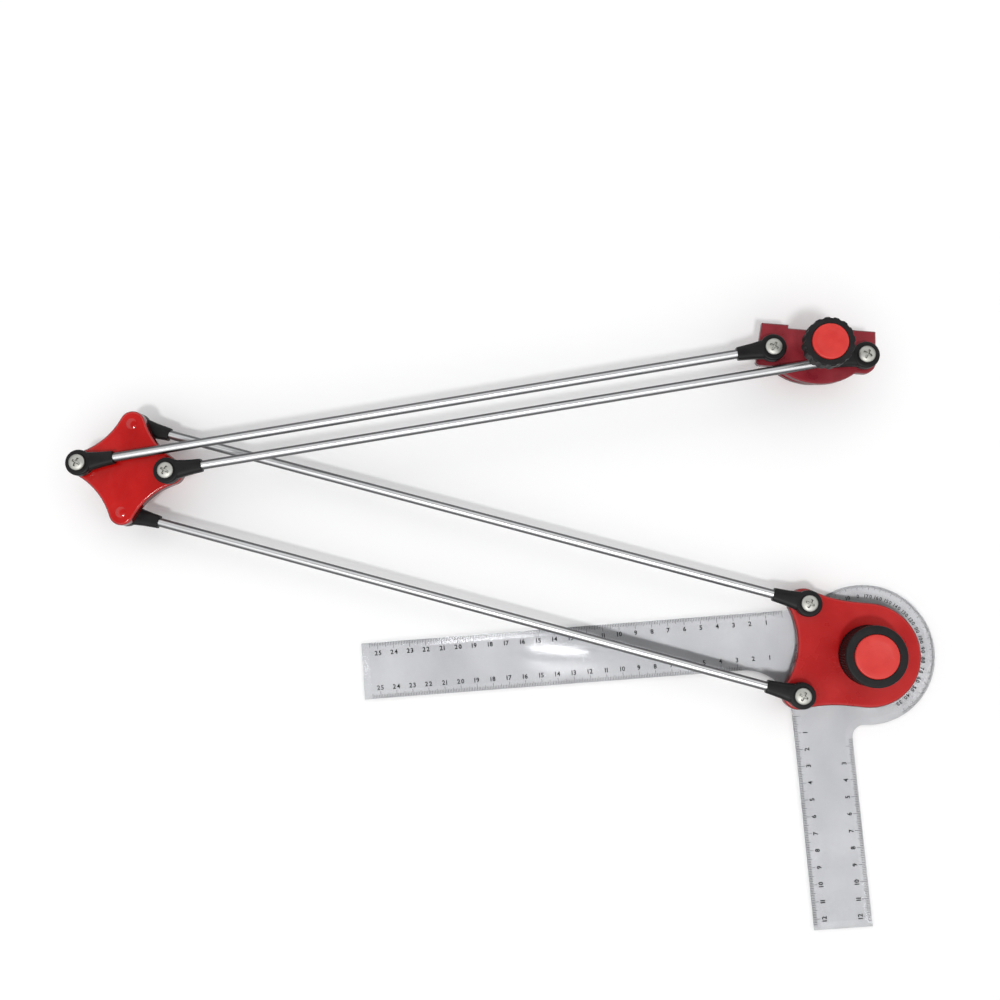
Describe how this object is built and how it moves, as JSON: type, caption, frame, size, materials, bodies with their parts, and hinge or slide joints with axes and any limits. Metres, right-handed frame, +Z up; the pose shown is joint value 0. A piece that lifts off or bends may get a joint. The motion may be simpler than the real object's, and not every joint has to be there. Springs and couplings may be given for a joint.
{
  "type": "mini drafter",
  "caption": "Parallel link drafting arm with a board clamp, paired chromed rods, a red elbow and a locking head that carries a clear protractor and L-shaped scale.",
  "frame": {"origin": "the head's spindle axis, at the underside of the scale, which is the table or drawing surface", "axes": "+Z up, square to the scale; +X along the line of the clamp's two pivots, which the linkage keeps parallel to the elbow's and square to the head's; +Y towards the clamp's spine, away from the person who draws"},
  "size_m": [0.5378, 0.3598, 0.057],
  "materials": {
    "clamp_paint": "gloss crimson paint",
    "moulded_red": "gloss red moulded plastic",
    "cap_red": "satin bright red plastic",
    "knob_black": "matte black plastic",
    "fitting_black": "matte black plastic",
    "hub_black": "matte black plastic",
    "rod_chrome": "bright chrome plate",
    "screw_steel": "bright plated steel",
    "washer_steel": "plain steel",
    "insert_brass": "plain turned brass",
    "pad_rubber": "matte black rubber",
    "clear_scale": "clear cast acrylic",
    "friction_fibre": "pressed fibre"
  },
  "bodies": {
    "clamp": {"clamp_bracket": "clamp_paint", "clamp_pivot_screws": "screw_steel", "clamp_pivot_washers": "washer_steel"},
    "pressure_foot": {"pressure_pad": "pad_rubber"},
    "clamp_spindle": {"clamp_screw": "screw_steel", "clamp_knob": "knob_black", "clamp_knob_cap": "cap_red"},
    "upper_arm_a": {"upper_rod_a": "rod_chrome", "fitting_a_elbow": "fitting_black", "fitting_a_clamp": "fitting_black"},
    "upper_arm_b": {"upper_rod_b": "rod_chrome", "fitting_b_elbow": "fitting_black", "fitting_b_clamp": "fitting_black"},
    "elbow": {"elbow_plate": "moulded_red", "elbow_inserts": "insert_brass", "elbow_top_screws": "screw_steel", "elbow_top_washers": "washer_steel", "elbow_under_screws": "screw_steel", "elbow_under_washers": "washer_steel"},
    "lower_arm_c": {"lower_rod_c": "rod_chrome", "fitting_c_elbow": "fitting_black", "fitting_c_head": "fitting_black"},
    "lower_arm_d": {"lower_rod_d": "rod_chrome", "fitting_d_elbow": "fitting_black", "fitting_d_head": "fitting_black"},
    "head": {"head_plate": "moulded_red", "head_inserts": "insert_brass", "head_pivot_screws": "screw_steel", "head_pivot_washers": "washer_steel", "spindle_bolt": "screw_steel"},
    "knob_follower": {"knob_washer": "washer_steel"},
    "knob": {"head_knob": "knob_black", "head_knob_nut": "insert_brass", "head_knob_cap": "cap_red"},
    "scale": {"blade": "clear_scale", "blade_hub": "hub_black", "friction_washer": "friction_fibre"}
  },
  "joints": [
    {"name": "upper_swing", "type": "hinge", "parent": "clamp", "child": "upper_arm_a", "pos_m": [-0.07387, 0.17777, 0], "axis": [0, 0, 1], "range_deg": [-1.8, 153]},
    {"name": "upper_swing_b", "type": "hinge", "parent": "clamp", "child": "upper_arm_b", "pos_m": [-0.01887, 0.17777, 0], "axis": [0, 0, 1], "range_deg": [-1.8, 153]},
    {"name": "elbow_level", "type": "hinge", "parent": "upper_arm_a", "child": "elbow", "pos_m": [-0.48746, 0.07158, 0], "axis": [0, 0, 1], "range_deg": [-153, 1.8]},
    {"name": "lower_swing", "type": "hinge", "parent": "elbow", "child": "lower_arm_c", "pos_m": [-0.45996, 0.09908, 0], "axis": [0, 0, 1], "range_deg": [-68.5, 5.5]},
    {"name": "lower_swing_d", "type": "hinge", "parent": "elbow", "child": "lower_arm_d", "pos_m": [-0.45996, 0.04408, 0], "axis": [0, 0, 1], "range_deg": [-68.5, 5.5]},
    {"name": "head_level", "type": "hinge", "parent": "lower_arm_c", "child": "head", "pos_m": [-0.039, 0.0275, 0], "axis": [0, 0, 1], "range_deg": [-5.5, 68.5]},
    {"name": "scale_turn", "type": "hinge", "parent": "head", "child": "scale", "pos_m": [0, 0, 0], "axis": [0, 0, 1], "range_deg": [-45, 180]},
    {"name": "knob_lift", "type": "slide", "parent": "head", "child": "knob_follower", "axis": [0, 0, 1], "range_m": [0, 0.001]},
    {"name": "knob_turn", "type": "hinge", "parent": "knob_follower", "child": "knob", "pos_m": [0, 0, 0], "axis": [0, 0, 1], "range_deg": [0, 360]},
    {"name": "foot_travel", "type": "slide", "parent": "clamp", "child": "pressure_foot", "axis": [0, 0, 1], "range_m": [-0.009, 0.002]},
    {"name": "clamp_screw_turn", "type": "hinge", "parent": "pressure_foot", "child": "clamp_spindle", "pos_m": [-0.04637, 0.17777, 0], "axis": [0, 0, 1], "range_deg": [-3240, 720]}
  ],
  "couplings": [
    {"joint": "upper_swing_b", "follows": "upper_swing", "ratio": 1},
    {"joint": "elbow_level", "follows": "upper_swing", "ratio": -1},
    {"joint": "lower_swing_d", "follows": "lower_swing", "ratio": 1},
    {"joint": "head_level", "follows": "lower_swing", "ratio": -1},
    {"joint": "knob_lift", "follows": "knob_turn", "m_per_rad": 0.00015915},
    {"joint": "foot_travel", "follows": "clamp_screw_turn", "m_per_rad": 0.00015915}
  ]
}
